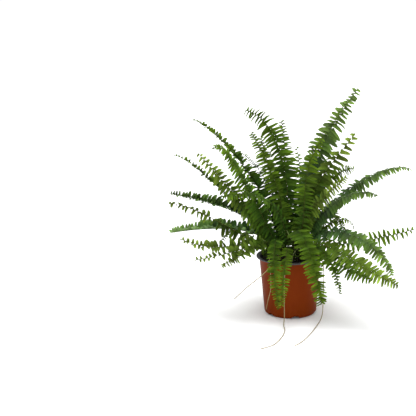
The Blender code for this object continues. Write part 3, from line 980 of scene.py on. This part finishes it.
# ---------------------------------------------------------------------------------------------------
# Fronds on the right: older ones that arch outward over the rim, with heavier leaflets that hang
# from both sides of the stalk. The lowest have turned a yellow green.
# ---------------------------------------------------------------------------------------------------
grow_frond(
    "right_lace", plain_green, 0.0195, gap=0.0060, seed=21, young=(0.2, 1.0), lost=0.05, broad=1.25,
    roll=40.0, tilt=22.0,
)
grow_frond(
    "right_middle", yellow_green, 0.0185, gap=0.0062, seed=22, young=(-0.2, 1.0), broad=0.9, tilt=32.0,
)
grow_frond(
    "right_long", blue_green_with_sheen, 0.0175, gap=0.0058, seed=23, young=(0.0, 0.9), hang=0.25, tone=1.15,
    broad=1.5, roll=-8.0, tilt=12.0,
)
grow_frond(
    "right_blue", blue_green_with_sheen, 0.0170, gap=0.0062, seed=24, young=(-0.1, 0.9), hang=0.25, broad=1.5,
    roll=-8.0, tilt=14.0,
)
grow_frond(
    "right_hook", plain_green, 0.0125, gap=0.0062, seed=25, young=(0.2, 1.3), hang=0.1, tone=1.2,
    broad=1.9,
)
grow_frond(
    "right_far", plain_green, 0.0170, gap=0.0090, seed=26, young=(0.4, 1.3), broad=1.5, tip_gap=0.9,
    roll=10.0, tone=1.15,
)
grow_frond(
    "right_arch", blue_green_with_sheen, 0.0185, gap=0.0062, seed=27, young=(-0.4, 1.3), hang=0.05, tone=1.3,
    broad=1.3, tilt=14.0,
)
grow_frond(
    "right_low", yellow_green, 0.0210, gap=0.0068, seed=28, young=(0.1, 0.7), tone=1.55, broad=1.1,
    jitter=0.8, tilt=16.0,
)
grow_frond("right_under", plain_green, 0.0185, seed=29, young=(0.0, 0.7), tone=1.1, broad=1.05)
grow_frond(
    "right_hanging", plain_green, 0.0110, gap=0.0056, seed=30, young=(0.1, 0.8), tone=0.9, broad=1.9,
    jitter=2.0,
)

# ---------------------------------------------------------------------------------------------------
# Fronds in front: they come over the rim and hang down against the pot, so their leaflets turn
# downward and lie close to it.
# ---------------------------------------------------------------------------------------------------
grow_frond(
    "front_right", plain_green, 0.0185, gap=0.0047, seed=41, young=(0.1, 1.2), roll=12.0, bare=0.03,
    blunt=0.08,
)
grow_frond(
    "front_middle", plain_green, 0.0120, gap=0.0048, seed=42, young=(0.5, 1.3), hang=0.05, broad=1.2,
    tone=1.15,
)
grow_frond(
    "front_left", plain_green, 0.0125, gap=0.0046, seed=43, young=(0.0, 1.2), hang=0.05, broad=1.2,
    tone=1.05,
)

# ---------------------------------------------------------------------------------------------------
# Fronds on the left: long thin arching ones, some of them seen along the edge of the blade, with
# wide gaps between the small leaflets of the weaker fronds.
# ---------------------------------------------------------------------------------------------------
grow_frond(
    "left_brown", yellow_green, 0.0125, gap=0.0046, seed=51, young=(0.0, 0.6), tone=1.2, broad=1.5,
    jitter=2.6,
)
grow_frond(
    "left_wisp", yellow_green, 0.0120, gap=0.0084, seed=52, young=(0.0, 0.9), lost=0.08, broad=1.9,
    tip_gap=1.0, droop=-20.0, jitter=2.0,
)
grow_frond(
    "left_low", yellow_green, 0.0145, seed=53, young=(0.1, 0.8), lost=0.04, broad=1.9, tip_gap=1.0,
    droop=-25.0, jitter=2.0,
)
grow_frond(
    "left_blue", blue_green_with_sheen, 0.0215, gap=0.0066, seed=54, young=(-0.1, 0.6), tone=1.8, broad=1.45,
    droop=-52.0, tilt=6.0, fade=0.1, blunt=0.10,
)
grow_frond(
    "left_straight", blue_green_with_sheen, 0.0235, seed=55, young=(-0.2, 0.7), broad=1.8, droop=-55.0,
    forward=-16.0, fade=0.25, tilt=34.0, jitter=1.2,
)
grow_frond(
    "left_yellow", yellow_green, 0.0145, gap=0.0072, seed=56, young=(0.0, 0.7), lost=0.14, broad=1.8,
    tip_gap=1.0, droop=20.0, jitter=2.4,
)
grow_frond(
    "left_upper", plain_green, 0.0190, gap=0.0068, seed=57, young=(-0.3, 1.3), broad=2.0, tip_gap=1.0,
    droop=-28.0, forward=26.0, fade=0.35, jitter=1.4,
)
grow_frond(
    "left_gold", yellow_green, 0.0205, gap=0.0082, seed=58, young=(-0.3, 0.9), broad=1.3, forward=-16.0,
    tip_gap=1.0, roll=18.0, tone=1.15,
)
grow_frond("left_grey", plain_green, 0.0200, gap=0.0056, seed=59, young=(-0.1, 0.9), tone=1.25, tilt=34.0)
grow_frond("left_band", plain_green, 0.0165, gap=0.0060, seed=60, young=(-0.2, 0.7), tone=1.05, jitter=1.5)
grow_frond(
    "left_tall", plain_green, 0.0200, gap=0.0066, seed=61, young=(-0.4, 1.3), broad=2.0, tip_gap=1.0,
    droop=-25.0, forward=26.0, fade=0.35, jitter=1.4,
)
grow_frond(
    "left_back_blue", blue_green_with_sheen, 0.0190, gap=0.0060, seed=62, young=(-0.2, 0.8), tilt=34.0, jitter=1.4,
)

# ---------------------------------------------------------------------------------------------------
# Fronds behind: they fill the far side of the plant, much like those in front.
# ---------------------------------------------------------------------------------------------------
for name, longest, seed, ripest, tone in (
    ("right", 0.0165, 71, 0.8, 1.0),
    ("right_low", 0.0165, 72, 0.6, 0.95),
    ("middle_right", 0.0180, 73, 0.8, 1.0),
    ("middle", 0.0170, 74, 0.6, 0.95),
    ("middle_left", 0.0180, 75, 0.8, 1.0),
    ("left", 0.0165, 76, 0.6, 0.95),
    ("left_low", 0.0165, 77, 0.7, 1.0),
    ("upper", 0.0170, 78, 0.9, 1.0),
):
    grow_frond("back_" + name, plain_green, longest, seed=seed, young=(0.0, ripest), tone=tone)

# ---------------------------------------------------------------------------------------------------
# Runners: bare wiry stems that creep out over the rim and along the table, pale straw green, with
# a slight swelling where a plantlet may root.
# ---------------------------------------------------------------------------------------------------
wiry, tree, shader, pattern = mottled_material(
    "runner_skin", 120.0, 5.0, (0.3, (0.20, 0.13, 0.045)), (0.7, (0.30, 0.25, 0.10)), (0.45, 0.2)
)
raise_skin(tree, shader, pattern, 0.4, 0.0002)
runner_radius = 0.00082
runner_taper = 0.30
knot_swelling = 0.16

for name, seed in (("left", 81), ("left_short", 82), ("front", 83), ("right", 84)):
    line = Line(middles(sections_of("runner_" + name, 6)))
    places = np.arange(0.0, line.length, 0.0022)
    knots = knot_swelling * np.maximum(0.0, np.sin(places * 90.0 + seed)) ** 12
    radii = runner_radius * (1.0 - runner_taper * (places / line.length)) * (1.0 + knots)
    centres = line.at(places)[0]
    centres[:, 2] = np.maximum(centres[:, 2], radii)
    runner = planted("wiry_" + name, *stem_tube(centres, radii, 8), wiry)
    runner.data.set_sharp_from_angle(angle=radians(60))
    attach(runner, "root")
    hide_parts("runner_" + name)

# ---------------------------------------------------------------------------------------------------
# Young shoots: fronds that have only begun to unroll, pale green and downy, their tips still coiled
# like a crosier with the first leaflets as small beads along them.
# ---------------------------------------------------------------------------------------------------
downy, tree, shader, pattern = mottled_material(
    "young_shoot_skin", 240.0, 5.0, (0.3, (0.14, 0.20, 0.035)), (0.7, (0.30, 0.38, 0.10)), (0.5, 0.2)
)
feed(tree, shader, {"Sheen Weight": 0.3})
raise_skin(tree, shader, pattern, 0.5, 0.0003)
shoot_radius = 0.00105
shoot_taper = 0.6
bead_gap = 0.0016
bead_width = 0.0011

for name in ("pale", "low"):
    line = Line(middles(sections_of("shoot_" + name, 6)))
    places = np.arange(0.0, line.length, 0.0008)
    radii = shoot_radius * (1.0 - shoot_taper * (places / line.length))
    corners, faces = stem_tube(line.at(places)[0], radii, 8)
    all_points, all_faces, count = [corners], list(faces), len(corners)
    for index, place in enumerate(np.arange(line.length * 0.35, line.length * 0.98, bead_gap)):
        where, going = (value[0] for value in line.at(place))
        side = 1 if index % 2 else -1
        width = bead_width * (1.0 - 0.35 * place / line.length)
        out = unit(np.cross(going, np.array([0.0, 1.0, 0.02]))) * 0.0002 + np.array([0.0, side * 0.0009, 0.0])
        bead = np.array([tuple(point) for point in crumb_shape]) * np.array([width, width * 0.7, width])
        all_points.append(bead + where + out)
        all_faces += [[corner + count for corner in face] for face in crumb_faces]
        count += len(bead)
    shoot = planted("crosier_" + name, np.vstack(all_points), all_faces, downy)
    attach(shoot, "root")
    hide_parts("shoot_" + name)

deselect_all()
